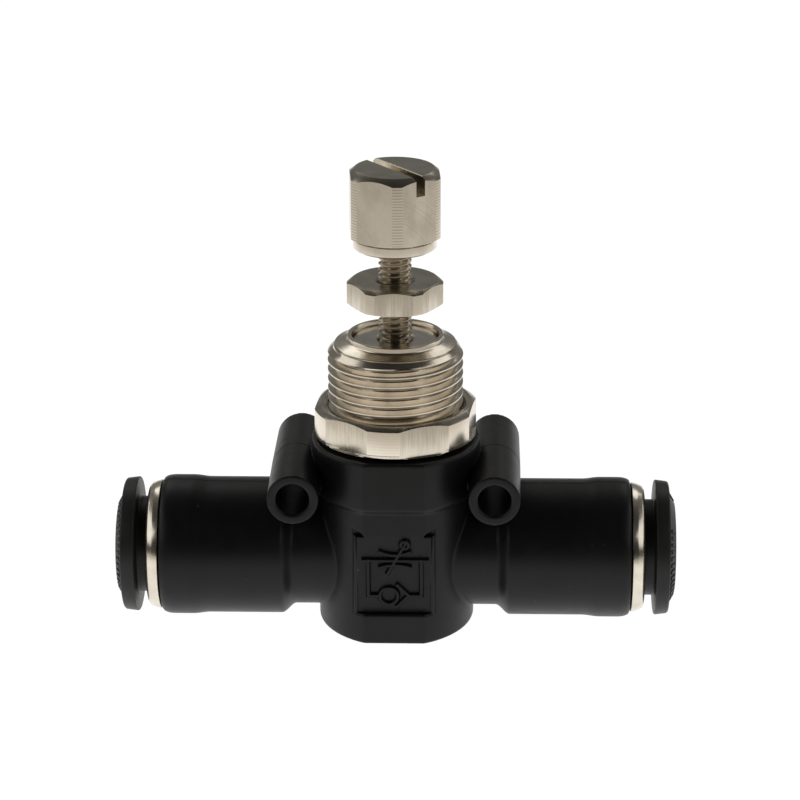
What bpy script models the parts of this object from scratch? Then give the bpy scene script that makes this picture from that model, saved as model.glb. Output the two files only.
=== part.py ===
"""In-line flow control valve with push-in ports for 8 mm tube.

X runs along the two ports, +Z up through the adjusting knob, and the symbol pocket faces -Y.
The origin is the middle of the barrel's bottom face. Dimensions below are in millimetres,
and heights are measured from the axis of the ports, where every piece's parent empty stands.
"""

import math

import bmesh
import bpy

MM = 0.001
SMOOTH_ANGLE = math.radians(35)
MERGE = 0.00001
FINE_TURN = 32
PLAIN_TURN = 24
SMALL_TURN = 16

# Body
PORT_HEIGHT = 7.5
BARREL = {"half_x": 8.08, "half_y": 9.14, "flat": 8.45}
COLLAR = {"half_x": 8.66, "half_y": 9.5, "flat": 8.9}
STEP_LOW = 6.85
STEP_HIGH = 7.6
COLLAR_TOP = 12.56
EDGE = 0.22
CUTTER_REACH = 2.0
OVAL_STEPS = 12
ROUND_STEPS = 3
NECK_STEPS = 3
NECK_RADIUS = 6.1
NECK_END = 10.4
HOUSING_START = 11.9
HOUSING_RADIUS = 7.12
BULGE_RADIUS = 7.3
BULGE_START = 19.4
BULGE_FULL = 21.2
ROUND_START = 23.1
HOUSING_END = 24.33
HOUSING_END_RADIUS = 6.86
BOSS_X = 10.23
BOSS_HEIGHT = 8.73
BOSS_RADIUS = 2.58
BOSS_HOLE_RADIUS = 1.68
BOSS_HALF_LENGTH = 9.08
# The symbol's face leans back from the barrel's flat, so it is proud above and recessed below.
SYMBOL_LOW = -4.15
SYMBOL_HIGH = 4.5
SYMBOL_TOP_Y = -8.43
SYMBOL_FOOT_Y = -7.75
SYMBOL_HALF_WIDTH = 3.75
SYMBOL_BASE_HALF_WIDTH = 4.25
SYMBOL_BACK_Y = -7.2
SYMBOL_OVERLAP = 0.05

# Bores in the body
CARTRIDGE_BORE = 6.2
CARTRIDGE_STOP = 14.95
TUBE_BORE = 4.15
TUBE_STOP = 9.0
PASSAGE_RADIUS = 1.9
PASSAGE_OFFSET = 2.9
PASSAGE_OVERLAP = 0.5
SHANK_BORE = 6.0
SHANK_BORE_END = 7.2
UPPER_CHAMBER = 5.1
UPPER_CHAMBER_END = 0.8
LOWER_CHAMBER = 4.2
LOWER_CHAMBER_END = -5.5

# Bonnet and the bush in it
THREAD_RADIUS = 6.95
BONNET_TOP = 23.5
RIM_OUTER = 4.9
RIM_FOOT = 22.95
GUIDE_BORE = 4.46
CONE_EDGE_RADIUS = 6.3
CONE_EDGE_HEIGHT = 22.5
THREAD_TOP = 21.74
SHOULDER = 12.62
SHANK_RADIUS = 5.94
SHANK_END = 7.6
SKIRT_RADIUS = 4.45
SKIRT_END = 1.2
PISTON_BORE = 2.6
GUIDE_SEAT = 14.2
SEAT_SOCKET_RADIUS = 3.02
SEAT_SOCKET_TOP = 2.05
SIDE_HOLE_RADIUS = 1.2
SIDE_HOLE_HEIGHT = 3.7
GROOVE = {"radius": 4.95, "low": 8.9, "high": 10.3}
GUIDE_TOP = 23.0
GUIDE_MOUTH = 0.12
STEM_HOLE = 1.78
FIT = 0.05

# Stem, knob and nuts
STEM_RADIUS = 1.7
STEM_TOP = 38.4
PISTON_RADIUS = 2.52
PISTON_TOP = 11.4
PISTON_LOW = 8.4
STEM_GROOVE = {"radius": 1.72, "low": 9.3, "high": 10.5}
SPINDLE_RADIUS = 1.6
SPINDLE_SLOPE = 0.4
SPINDLE_LOW = 4.4
NEEDLE_RADIUS = 1.22
NEEDLE_HEIGHT = 3.9
TIP_RADIUS = 0.35
TIP_HEIGHT = 0.8
TIP_POINT = 0.2
SMALL_HEX = 9.0
SMALL_TURNED_RADIUS = 4.92
KNOB_TOP = 41.05
KNOB_CHAMFER = 0.62
KNOB_HEX_LOW = 34.05
KNOB_LOW = 32.75
KNOB_COLLAR_RADIUS = 4.25
KNOB_NECK = {"radius": 4.05, "height": 0.22}
KNOB_TURN = -25
LOCK_CHAMFER = 0.42
SLOT_WIDTH = 1.03
SLOT_DEPTH = 1.95
SLOT_TURN = -53
LOCK_LOW = 26.8
LOCK_HIGH = 29.3
PANEL_HEX = 16.0
PANEL_TURNED_RADIUS = 8.45
PANEL_LOW = 12.9
PANEL_WASHER = 0.35
PANEL_HIGH = 16.25
PANEL_BORE = 7.03
PANEL_TURN = 22.8
PANEL_CHAMFER = {"width": 0.7, "height": 0.45}
PANEL_MOUTH = 0.35

# Seat and check seal
ORIFICE = 1.3
SEAT_TOP = 1.95
SEAT_LOW = -1.8
SEAT_LIFT = 0.1
SEAT_FLANGE = {"radius": 3.9, "low": 0.6}
SEAT_WAIST = {"radius": 2.5, "low": -1.3}
SEAT_FOOT_RADIUS = 3.3
SEAT_THROAT = 0.7
LIP_SEAL = {"bore": 2.56, "heel": 3.0, "back": 3.4, "high": 0.5, "low": -1.2}
LIP = {"radius": 4.1, "low": -0.95, "inner": 3.85, "root_radius": 3.25, "root_height": -0.3}

# Port cartridges, measured outwards from the middle of the valve
RING_END = 25.8
RING_ROUNDING = ((6.2, 0.0), (6.46, 0.1), (6.62, 0.36))
RING_FOOT_RADIUS = 6.8
RING_LIP = 24.1
RING_NECK = 5.15
RING_POCKET = 5.75
RING_SKIRT_RADIUS = 6.13
RING_SKIRT_START = 21.6
SLEEVE_END = 29.0
SLEEVE_FACE_RADIUS = 4.7
FLANGE_OUT = 28.35
FLANGE_IN = 26.9
FLANGE_RADIUS = 7.05
FLANGE_FRONT_RADIUS = 6.9
FLANGE_ROUNDING = 0.1
CONE_FOOT_RADIUS = 5.8
SLEEVE_NECK = 5.0
SLEEVE_STOP = {"radius": 5.6, "low": 23.4, "high": 23.95}
SLEEVE_TIP = 20.9
SLEEVE_NOSE = {"radius": 4.5, "height": 0.4}
GRIP_RING = {"inner": 5.25, "outer": 6.1, "low": 19.45, "high": 19.75}
CLAW = {"root": 5.15, "low": 18.45, "back": 4.1, "tip": 3.97, "tip_height": 18.7}
CLAWS = 10
CLAW_GAP = {"width": 0.45, "length": 2.5, "middle": 19.1, "reach": 5.0}
BACKUP_RING = {"inner": 5.25, "low": 17.35, "high": 19.3}
BACKUP_BORE = {"radius": 4.35, "high": 18.3, "slope_radius": 4.45, "slope_high": 18.5}
SEAL_MIDDLE = 16.15
SEAL_RADIUS = 5.05
SEAL_SECTION = 1.05

# Colour, roughness, metallic
FINISHES = {
    "black_plastic": ((0.012, 0.012, 0.013), 0.45, 0.0),
    "nickel_plate": ((0.62, 0.58, 0.52), 0.28, 1.0),
    "brass": ((0.72, 0.55, 0.28), 0.35, 1.0),
    "spring_steel": ((0.6, 0.6, 0.6), 0.3, 1.0),
    "rubber": ((0.02, 0.02, 0.02), 0.75, 0.0),
    "white_plastic": ((0.75, 0.74, 0.7), 0.5, 0.0),
}


def clear_scene():
    for old in list(bpy.data.objects):
        bpy.data.objects.remove(old, do_unlink=True)


def new_collection(name):
    collection = bpy.data.collections.new(name)
    bpy.context.scene.collection.children.link(collection)
    return collection


def finish(node, kind):
    """Gives a piece its own material of one of the kinds above."""
    colour, roughness, metallic = FINISHES[kind]
    material = bpy.data.materials.new(f"{node.name}_{kind}")
    material.use_nodes = True
    shader = material.node_tree.nodes["Principled BSDF"]
    shader.inputs["Base Color"].default_value = (*colour, 1.0)
    shader.inputs["Roughness"].default_value = roughness
    shader.inputs["Metallic"].default_value = metallic
    node.data.materials.append(material)
    return node


def add_object(name, mesh, collection, centre):
    mesh.shade_smooth()
    mesh.set_sharp_from_angle(angle=SMOOTH_ANGLE)
    obj = bpy.data.objects.new(name, mesh)
    collection.objects.link(obj)
    obj.parent = centre
    return obj


def hide(helper):
    helper.hide_render = True
    helper.display_type = "WIRE"
    return helper


def turned(name, profile, collection, centre, steps=PLAIN_TURN, ring=True):
    """A turned shape about its local Z, from (radius, height) points down the outer side.

    A ring's profile is a closed loop; any other profile starts and ends on the axis.
    """
    mesh = bpy.data.meshes.new(name)
    points = [(radius * MM, 0.0, height * MM) for radius, height in profile]
    edges = [(i, i + 1) for i in range(len(points) - 1)]
    if ring:
        edges.append((len(points) - 1, 0))
    mesh.from_pydata(points, edges, [])
    obj = add_object(name, mesh, collection, centre)
    screw = obj.modifiers.new("turn", "SCREW")
    screw.steps = steps
    screw.render_steps = steps
    screw.use_merge_vertices = True
    screw.merge_threshold = MERGE
    screw.use_smooth_shade = True
    return obj


def along_x(obj, side=1):
    """Lays a turned shape along X, its local +Z pointing outwards on that side."""
    obj.rotation_euler = (0, side * math.pi / 2, 0)
    return obj


def along_y(obj):
    obj.rotation_euler = (math.pi / 2, 0, 0)
    return obj


def box(name, size, place, collection, centre):
    mesh = bpy.data.meshes.new(name)
    bm = bmesh.new()
    bmesh.ops.create_cube(bm, size=1.0)
    bmesh.ops.scale(bm, vec=[side * MM for side in size], verts=bm.verts)
    bm.to_mesh(mesh)
    bm.free()
    obj = add_object(name, mesh, collection, centre)
    obj.location = [value * MM for value in place]
    return obj


def boolean(obj, other, operation):
    modifier = obj.modifiers.new(other.name, "BOOLEAN")
    modifier.operation = operation
    modifier.object = other
    modifier.solver = "EXACT"


def cut(obj, cutter):
    boolean(obj, hide(cutter), "DIFFERENCE")


def join(obj, other):
    boolean(obj, hide(other), "UNION")


def oval_ring(height, half_x, half_y, flat, inset=0.0):
    """Points round an oval whose front and back are cut flat."""
    half_x, half_y, flat = half_x - inset, half_y - inset, flat - inset
    reach = math.asin(flat / half_y)
    right = [reach * (2 * i / OVAL_STEPS - 1) for i in range(OVAL_STEPS + 1)]
    angles = right + [math.pi + angle for angle in right]
    return [(half_x * math.cos(a), half_y * math.sin(a), height) for a in angles]


def loft(name, rings, collection, centre):
    """A solid through rings of the same number of points, from bottom to top."""
    mesh = bpy.data.meshes.new(name)
    bm = bmesh.new()
    rows = [[bm.verts.new([v * MM for v in point]) for point in ring] for ring in rings]
    for low, high in zip(rows, rows[1:]):
        for i in range(len(low)):
            j = (i + 1) % len(low)
            bm.faces.new((low[i], low[j], high[j], high[i]))
    bm.faces.new(rows[0][::-1])
    bm.faces.new(rows[-1])
    bm.to_mesh(mesh)
    bm.free()
    return add_object(name, mesh, collection, centre)


def eased_steps(steps):
    """(share, eased share) pairs along a soft S, for a fillet between two radii."""
    for i in range(steps + 1):
        share = i / steps
        yield share, share * share * (3 - 2 * share)


def port_tube_profile():
    """Outer side of both housings and the neck between them, from right to left."""
    half = [(HOUSING_END_RADIUS, HOUSING_END)]
    for i in range(1, ROUND_STEPS + 1):
        angle = math.pi / 2 * i / ROUND_STEPS
        along = ROUND_START + (HOUSING_END - ROUND_START) * math.cos(angle)
        radius = HOUSING_END_RADIUS + (BULGE_RADIUS - HOUSING_END_RADIUS) * math.sin(angle)
        half.append((radius, along))
    half.append((BULGE_RADIUS, BULGE_FULL))
    half.append((HOUSING_RADIUS, BULGE_START))
    for share, eased in eased_steps(NECK_STEPS):
        along = HOUSING_START + (NECK_END - HOUSING_START) * share
        half.append((HOUSING_RADIUS + (NECK_RADIUS - HOUSING_RADIUS) * eased, along))
    other = [(radius, -along) for radius, along in reversed(half)]
    return [(0, HOUSING_END), *half, *other, (0, -HOUSING_END)]


def make_body(parts, cutters, centre):
    """Moulded barrel, collar, port housings and mounting bosses, bored out."""
    body = loft("body", [
        oval_ring(-PORT_HEIGHT, **BARREL, inset=EDGE),
        oval_ring(EDGE - PORT_HEIGHT, **BARREL),
        oval_ring(STEP_LOW, **BARREL),
        oval_ring(STEP_HIGH, **COLLAR),
        oval_ring(COLLAR_TOP - EDGE, **COLLAR),
        oval_ring(COLLAR_TOP, **COLLAR, inset=EDGE),
    ], parts, centre)
    tube = turned("body_port_tube", port_tube_profile(), cutters, centre, FINE_TURN, ring=False)
    join(body, along_x(tube))
    for side in (-1, 1):
        join(body, boss_cylinder(side, "boss", BOSS_RADIUS, BOSS_HALF_LENGTH, cutters, centre))
    for side in (-1, 1):
        cut(body, boss_cylinder(side, "boss_hole", BOSS_HOLE_RADIUS,
                                BOSS_HALF_LENGTH + CUTTER_REACH, cutters, centre))
    cut(body, stem_bore_cutter(cutters, centre))
    for side in (-1, 1):
        cut(body, port_bore_cutter(side, cutters, centre))
        cut(body, passage_cutter(side, cutters, centre))
    cut(body, symbol_recess(cutters, centre))
    join(body, symbol_pad(cutters, centre))
    return finish(body, "black_plastic")


def symbol_recess(cutters, centre):
    """Clears the barrel's wall in front of the leaning face."""
    half = SYMBOL_HALF_WIDTH - SYMBOL_OVERLAP
    front = -2 * BARREL["half_y"]
    rings = []
    for height, face in ((SYMBOL_LOW, SYMBOL_FOOT_Y), (SYMBOL_HIGH, SYMBOL_TOP_Y)):
        back = face + SYMBOL_OVERLAP
        rings.append([(-half, front, height), (half, front, height),
                      (half, back, height), (-half, back, height)])
    return loft("symbol_recess", rings, cutters, centre)


def symbol_pad(cutters, centre):
    """The leaning face itself, with sides drafted out to the barrel."""
    half, base = SYMBOL_HALF_WIDTH, SYMBOL_BASE_HALF_WIDTH
    rings = []
    for height, face in ((SYMBOL_LOW, SYMBOL_FOOT_Y), (SYMBOL_HIGH, SYMBOL_TOP_Y)):
        rings.append([(-half, face, height), (half, face, height),
                      (base, SYMBOL_BACK_Y, height), (-base, SYMBOL_BACK_Y, height)])
    return loft("symbol_pad", rings, cutters, centre)


def boss_cylinder(side, kind, radius, half_length, cutters, centre):
    name = f"{kind}_{'right' if side > 0 else 'left'}"
    profile = [(0, half_length), (radius, half_length), (radius, -half_length), (0, -half_length)]
    cylinder = along_y(turned(name, profile, cutters, centre, SMALL_TURN, ring=False))
    cylinder.location = (side * BOSS_X * MM, 0, BOSS_HEIGHT * MM)
    return cylinder


def stem_bore_cutter(cutters, centre):
    """The stepped bore that takes the bonnet, with the upper and lower flow chambers."""
    above = COLLAR_TOP + CUTTER_REACH
    profile = [
        (0, above), (SHANK_BORE, above), (SHANK_BORE, SHANK_BORE_END),
        (UPPER_CHAMBER, SHANK_BORE_END), (UPPER_CHAMBER, UPPER_CHAMBER_END),
        (LOWER_CHAMBER, UPPER_CHAMBER_END), (LOWER_CHAMBER, LOWER_CHAMBER_END),
        (0, LOWER_CHAMBER_END),
    ]
    return turned("stem_bore", profile, cutters, centre, FINE_TURN, ring=False)


def port_bore_cutter(side, cutters, centre):
    """The cartridge bore and, behind it, the socket that the tube's end stops in."""
    beyond = HOUSING_END + CUTTER_REACH
    profile = [
        (0, beyond), (CARTRIDGE_BORE, beyond), (CARTRIDGE_BORE, CARTRIDGE_STOP),
        (TUBE_BORE, CARTRIDGE_STOP), (TUBE_BORE, TUBE_STOP), (0, TUBE_STOP),
    ]
    name = "port_bore_right" if side > 0 else "port_bore_left"
    return along_x(turned(name, profile, cutters, centre, FINE_TURN, ring=False), side)


def passage_cutter(side, cutters, centre):
    """Flow passage: the left port feeds the lower chamber, the right port the upper one."""
    profile = [
        (0, TUBE_STOP + PASSAGE_OVERLAP), (PASSAGE_RADIUS, TUBE_STOP + PASSAGE_OVERLAP),
        (PASSAGE_RADIUS, LOWER_CHAMBER / 2), (0, LOWER_CHAMBER / 2),
    ]
    name = "passage_right" if side > 0 else "passage_left"
    passage = along_x(turned(name, profile, cutters, centre, SMALL_TURN, ring=False), side)
    passage.location.z = side * PASSAGE_OFFSET * MM
    return passage


def make_bonnet(parts, cutters, centre):
    """Turned stem housing: crimped rim, cone, panel thread and the shank in the body."""
    profile = [
        (GUIDE_BORE, BONNET_TOP), (RIM_OUTER, BONNET_TOP), (RIM_OUTER, RIM_FOOT),
        (CONE_EDGE_RADIUS, CONE_EDGE_HEIGHT),
        (THREAD_RADIUS, THREAD_TOP), (THREAD_RADIUS, SHOULDER), (SHANK_RADIUS, SHOULDER),
        (SHANK_RADIUS, GROOVE["high"]), (GROOVE["radius"], GROOVE["high"]),
        (GROOVE["radius"], GROOVE["low"]), (SHANK_RADIUS, GROOVE["low"]),
        (SHANK_RADIUS, SHANK_END), (SKIRT_RADIUS, SHANK_END), (SKIRT_RADIUS, SKIRT_END),
        (SEAT_SOCKET_RADIUS, SKIRT_END), (SEAT_SOCKET_RADIUS, SEAT_SOCKET_TOP),
        (PISTON_BORE, SEAT_SOCKET_TOP), (PISTON_BORE, GUIDE_SEAT), (GUIDE_BORE, GUIDE_SEAT),
    ]
    bonnet = turned("bonnet", profile, parts, centre, FINE_TURN)
    reach = SKIRT_RADIUS + CUTTER_REACH
    for name, lay in (("side_holes_x", along_x), ("side_holes_y", along_y)):
        hole = [(0, reach), (SIDE_HOLE_RADIUS, reach), (SIDE_HOLE_RADIUS, -reach), (0, -reach)]
        drill = lay(turned(name, hole, cutters, centre, SMALL_TURN // 2, ring=False))
        drill.location.z = SIDE_HOLE_HEIGHT * MM
        cut(bonnet, drill)
    return finish(bonnet, "nickel_plate")


def make_needle_guide(parts, centre):
    """Threaded bush that the crimped rim holds; the stem screws through it."""
    outer = GUIDE_BORE - FIT
    mouth = STEM_HOLE + GUIDE_MOUTH
    profile = [
        (mouth, GUIDE_TOP), (outer, GUIDE_TOP), (outer, GUIDE_SEAT + FIT),
        (STEM_HOLE, GUIDE_SEAT + FIT), (STEM_HOLE, GUIDE_TOP - GUIDE_MOUTH),
    ]
    return finish(turned("needle_guide", profile, parts, centre), "nickel_plate")


def make_needle_stem(parts, centre):
    """Threaded stem, piston land with its seal groove, spindle and tapered needle."""
    groove = STEM_GROOVE
    profile = [
        (0, STEM_TOP), (STEM_RADIUS - EDGE, STEM_TOP), (STEM_RADIUS, STEM_TOP - EDGE),
        (STEM_RADIUS, PISTON_TOP), (PISTON_RADIUS, PISTON_TOP),
        (PISTON_RADIUS, groove["high"]), (groove["radius"], groove["high"]),
        (groove["radius"], groove["low"]), (PISTON_RADIUS, groove["low"]),
        (PISTON_RADIUS, PISTON_LOW), (SPINDLE_RADIUS, PISTON_LOW - SPINDLE_SLOPE),
        (SPINDLE_RADIUS, SPINDLE_LOW), (NEEDLE_RADIUS, NEEDLE_HEIGHT),
        (TIP_RADIUS, TIP_HEIGHT), (0, TIP_HEIGHT - TIP_POINT),
    ]
    return finish(turned("needle_stem", profile, parts, centre, ring=False), "nickel_plate")


def hex_cutter(name, across_flats, low, high, turn, cutters, centre):
    """A six-sided tube that takes away all that stands proud of a hexagon."""
    inner = across_flats / 2 / math.cos(math.pi / 6)
    outer = across_flats
    above, below = high + CUTTER_REACH, low - CUTTER_REACH
    profile = [(inner, above), (outer, above), (outer, below), (inner, below)]
    cutter = turned(name, profile, cutters, centre, 6)
    cutter.rotation_euler.z = math.radians(turn)
    return cutter


def make_adjusting_knob(parts, cutters, centre):
    """Hexagon knob with a screwdriver slot, a round collar and a blind hole for the stem."""
    turned_radius = SMALL_TURNED_RADIUS
    collar_top = KNOB_HEX_LOW - KNOB_NECK["height"]
    profile = [
        (0, KNOB_TOP), (turned_radius - KNOB_CHAMFER, KNOB_TOP),
        (turned_radius, KNOB_TOP - KNOB_CHAMFER), (turned_radius, KNOB_HEX_LOW + EDGE),
        (turned_radius - EDGE, KNOB_HEX_LOW), (KNOB_NECK["radius"], KNOB_HEX_LOW),
        (KNOB_NECK["radius"], collar_top), (KNOB_COLLAR_RADIUS, collar_top),
        (KNOB_COLLAR_RADIUS, KNOB_LOW + EDGE), (KNOB_COLLAR_RADIUS - EDGE, KNOB_LOW),
        (STEM_HOLE, KNOB_LOW), (STEM_HOLE, STEM_TOP + FIT), (0, STEM_TOP + FIT),
    ]
    knob = turned("adjusting_knob", profile, parts, centre, FINE_TURN, ring=False)
    cut(knob, hex_cutter("knob_flats", SMALL_HEX, KNOB_LOW, KNOB_TOP, KNOB_TURN, cutters, centre))
    slot = box("knob_slot", (3 * turned_radius, SLOT_WIDTH, 2 * SLOT_DEPTH), (0, 0, KNOB_TOP),
               cutters, centre)
    slot.rotation_euler.z = math.radians(SLOT_TURN)
    cut(knob, slot)
    return finish(knob, "nickel_plate")


def make_lock_nut(parts, cutters, centre):
    radius = SMALL_TURNED_RADIUS
    profile = [
        (STEM_HOLE + EDGE, LOCK_HIGH), (radius - LOCK_CHAMFER, LOCK_HIGH),
        (radius, LOCK_HIGH - EDGE), (radius, LOCK_LOW + EDGE / 2),
        (radius - EDGE / 2, LOCK_LOW), (STEM_HOLE + EDGE, LOCK_LOW),
        (STEM_HOLE, LOCK_LOW + EDGE), (STEM_HOLE, LOCK_HIGH - EDGE),
    ]
    nut = turned("lock_nut", profile, parts, centre, FINE_TURN)
    cut(nut, hex_cutter("lock_nut_flats", SMALL_HEX, LOCK_LOW, LOCK_HIGH, 0, cutters, centre))
    return finish(nut, "nickel_plate")


def make_panel_nut(parts, cutters, centre):
    """Hexagon nut with a round washer face below and a chamfered top."""
    radius = PANEL_TURNED_RADIUS
    flats_low = PANEL_LOW + PANEL_WASHER + CUTTER_REACH
    profile = [
        (PANEL_BORE + PANEL_MOUTH, PANEL_HIGH), (radius - PANEL_CHAMFER["width"], PANEL_HIGH),
        (radius, PANEL_HIGH - PANEL_CHAMFER["height"]), (radius, PANEL_LOW),
        (PANEL_BORE, PANEL_LOW), (PANEL_BORE, PANEL_HIGH - PANEL_MOUTH),
    ]
    nut = turned("panel_nut", profile, parts, centre, FINE_TURN)
    cut(nut, hex_cutter("panel_nut_flats", PANEL_HEX, flats_low, PANEL_HIGH, PANEL_TURN, cutters,
                        centre))
    return finish(nut, "nickel_plate")


def make_valve_seat_sleeve(parts, centre):
    """Throttle orifice pressed into the bonnet, with a groove for the check seal."""
    press = SEAT_SOCKET_RADIUS - FIT
    flange_top = SKIRT_END - SEAT_LIFT
    flange, waist = SEAT_FLANGE, SEAT_WAIST
    profile = [
        (PISTON_BORE - FIT, SEAT_TOP), (press, SEAT_TOP), (press, flange_top),
        (flange["radius"], flange_top), (flange["radius"], flange["low"]),
        (waist["radius"], flange["low"]), (waist["radius"], waist["low"]),
        (SEAT_FOOT_RADIUS, waist["low"]), (SEAT_FOOT_RADIUS, SEAT_LOW),
        (ORIFICE + SEAT_THROAT, SEAT_LOW), (ORIFICE, -SEAT_THROAT), (ORIFICE, SEAT_THROAT),
    ]
    return finish(turned("valve_seat_sleeve", profile, parts, centre), "brass")


def make_check_lip_seal(parts, centre):
    """U-lip ring; its outer lip leans on the chamber wall and folds for the free flow."""
    ring, lip = LIP_SEAL, LIP
    profile = [
        (ring["bore"], ring["high"]), (ring["back"], ring["high"]), (lip["radius"], lip["low"]),
        (lip["inner"], ring["low"]), (lip["root_radius"], lip["root_height"]),
        (ring["heel"], ring["low"]), (ring["bore"], ring["low"]),
    ]
    return finish(turned("check_lip_seal", profile, parts, centre), "rubber")


def round_section_ring(name, radius, middle, section, parts, centre, section_steps=8):
    """A ring of round section about its local Z."""
    profile = []
    for i in range(section_steps):
        angle = math.pi / 2 - 2 * math.pi * i / section_steps
        profile.append((radius + section * math.cos(angle), middle + section * math.sin(angle)))
    return turned(name, profile, parts, centre)


def make_o_rings(parts, centre):
    gap = SHANK_BORE - GROOVE["radius"]
    ring = round_section_ring("bonnet_o_ring", GROOVE["radius"] + gap / 2,
                              (GROOVE["low"] + GROOVE["high"]) / 2, gap / 2 - FIT, parts, centre)
    finish(ring, "rubber")
    gap = PISTON_BORE - STEM_GROOVE["radius"]
    ring = round_section_ring("stem_o_ring", STEM_GROOVE["radius"] + gap / 2,
                              (STEM_GROOVE["low"] + STEM_GROOVE["high"]) / 2, gap / 2 - FIT / 2,
                              parts, centre)
    finish(ring, "rubber")


def make_end_ring(side, label, parts, centre):
    """Nickel-plated ring that closes the housing, with the skirt that holds the cartridge in."""
    shoulder = HOUSING_END + FIT
    profile = [
        (RING_NECK, RING_END), *[(radius, RING_END - drop) for radius, drop in RING_ROUNDING],
        (RING_FOOT_RADIUS, shoulder), (RING_SKIRT_RADIUS, shoulder),
        (RING_SKIRT_RADIUS, RING_SKIRT_START),
        (RING_POCKET, RING_SKIRT_START), (RING_POCKET, RING_LIP), (RING_NECK, RING_LIP),
    ]
    ring = turned(f"end_ring_{label}", profile, parts, centre, FINE_TURN)
    finish(along_x(ring, side), "nickel_plate")


def make_release_sleeve(side, label, parts, centre):
    """Flanged sleeve that is pushed in to free the tube."""
    stop = SLEEVE_STOP
    edge = FLANGE_ROUNDING
    profile = [
        (TUBE_BORE, SLEEVE_END), (SLEEVE_FACE_RADIUS, SLEEVE_END), (CONE_FOOT_RADIUS, FLANGE_OUT),
        (FLANGE_FRONT_RADIUS - edge, FLANGE_OUT), (FLANGE_FRONT_RADIUS, FLANGE_OUT - edge),
        (FLANGE_RADIUS, FLANGE_IN + edge), (FLANGE_RADIUS - edge, FLANGE_IN),
        (SLEEVE_NECK, FLANGE_IN), (SLEEVE_NECK, stop["high"]), (stop["radius"], stop["high"]),
        (stop["radius"], stop["low"]), (SLEEVE_NECK - FIT, stop["low"]),
        (SLEEVE_NECK - FIT, SLEEVE_TIP + SLEEVE_NOSE["height"]),
        (SLEEVE_NOSE["radius"], SLEEVE_TIP), (TUBE_BORE, SLEEVE_TIP),
    ]
    sleeve = turned(f"release_sleeve_{label}", profile, parts, centre, FINE_TURN)
    finish(along_x(sleeve, side), "black_plastic")


def make_grip_ring(side, label, parts, cutters, centre):
    """Spring steel ring with claws that lean inwards and bite on the tube."""
    flat, claw, gap = GRIP_RING, CLAW, CLAW_GAP
    profile = [
        (flat["inner"], flat["high"]), (flat["outer"], flat["high"]),
        (flat["outer"], flat["low"]), (claw["root"], flat["low"]), (claw["back"], claw["low"]),
        (claw["tip"], claw["tip_height"]),
    ]
    ring = along_x(turned(f"grip_ring_{label}", profile, parts, centre), side)
    size = (gap["length"], gap["width"], 2 * gap["reach"])
    for i in range(CLAWS // 2):
        slit = box(f"claw_gap_{label}_{i}", size, (side * gap["middle"], 0, 0), cutters, centre)
        slit.rotation_euler.x = math.pi * i / (CLAWS // 2)
        cut(ring, slit)
    finish(ring, "spring_steel")


def make_grip_backup_ring(side, label, parts, centre):
    """Plastic ring between the claws and the tube seal."""
    ring, bore = BACKUP_RING, BACKUP_BORE
    profile = [
        (ring["inner"], ring["high"]), (RING_SKIRT_RADIUS, ring["high"]),
        (RING_SKIRT_RADIUS, ring["low"]), (bore["radius"], ring["low"]),
        (bore["radius"], bore["high"]), (bore["slope_radius"], bore["slope_high"]),
    ]
    backup = turned(f"grip_backup_ring_{label}", profile, parts, centre)
    finish(along_x(backup, side), "white_plastic")


def make_tube_seal(side, label, parts, centre):
    seal = round_section_ring(f"tube_seal_{label}", SEAL_RADIUS, SEAL_MIDDLE, SEAL_SECTION,
                              parts, centre)
    finish(along_x(seal, side), "rubber")


def make_port(side, label, parts, cutters, centre):
    make_end_ring(side, label, parts, centre)
    make_release_sleeve(side, label, parts, centre)
    make_grip_ring(side, label, parts, cutters, centre)
    make_grip_backup_ring(side, label, parts, centre)
    make_tube_seal(side, label, parts, centre)


def main():
    clear_scene()
    parts = new_collection("flow_control_valve")
    cutters = new_collection("cutters")
    centre = bpy.data.objects.new("port_axis_centre", None)
    parts.objects.link(centre)
    centre.location.z = PORT_HEIGHT * MM
    make_body(parts, cutters, centre)
    make_bonnet(parts, cutters, centre)
    make_needle_guide(parts, centre)
    make_needle_stem(parts, centre)
    make_adjusting_knob(parts, cutters, centre)
    make_lock_nut(parts, cutters, centre)
    make_panel_nut(parts, cutters, centre)
    make_valve_seat_sleeve(parts, centre)
    make_check_lip_seal(parts, centre)
    make_o_rings(parts, centre)
    for side, label in ((-1, "left"), (1, "right")):
        make_port(side, label, parts, cutters, centre)


main()
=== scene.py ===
"""Looks of the in-line flow control valve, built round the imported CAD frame.

Shapes are worked out in millimetres from the axis of the ports (X along the ports, +Z up the
stem, -Y towards the viewer), and moved into the frame's metres when a piece is made.
"""
import math

import bmesh
import bpy
import numpy as np
from mathutils import Matrix, Vector


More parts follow.
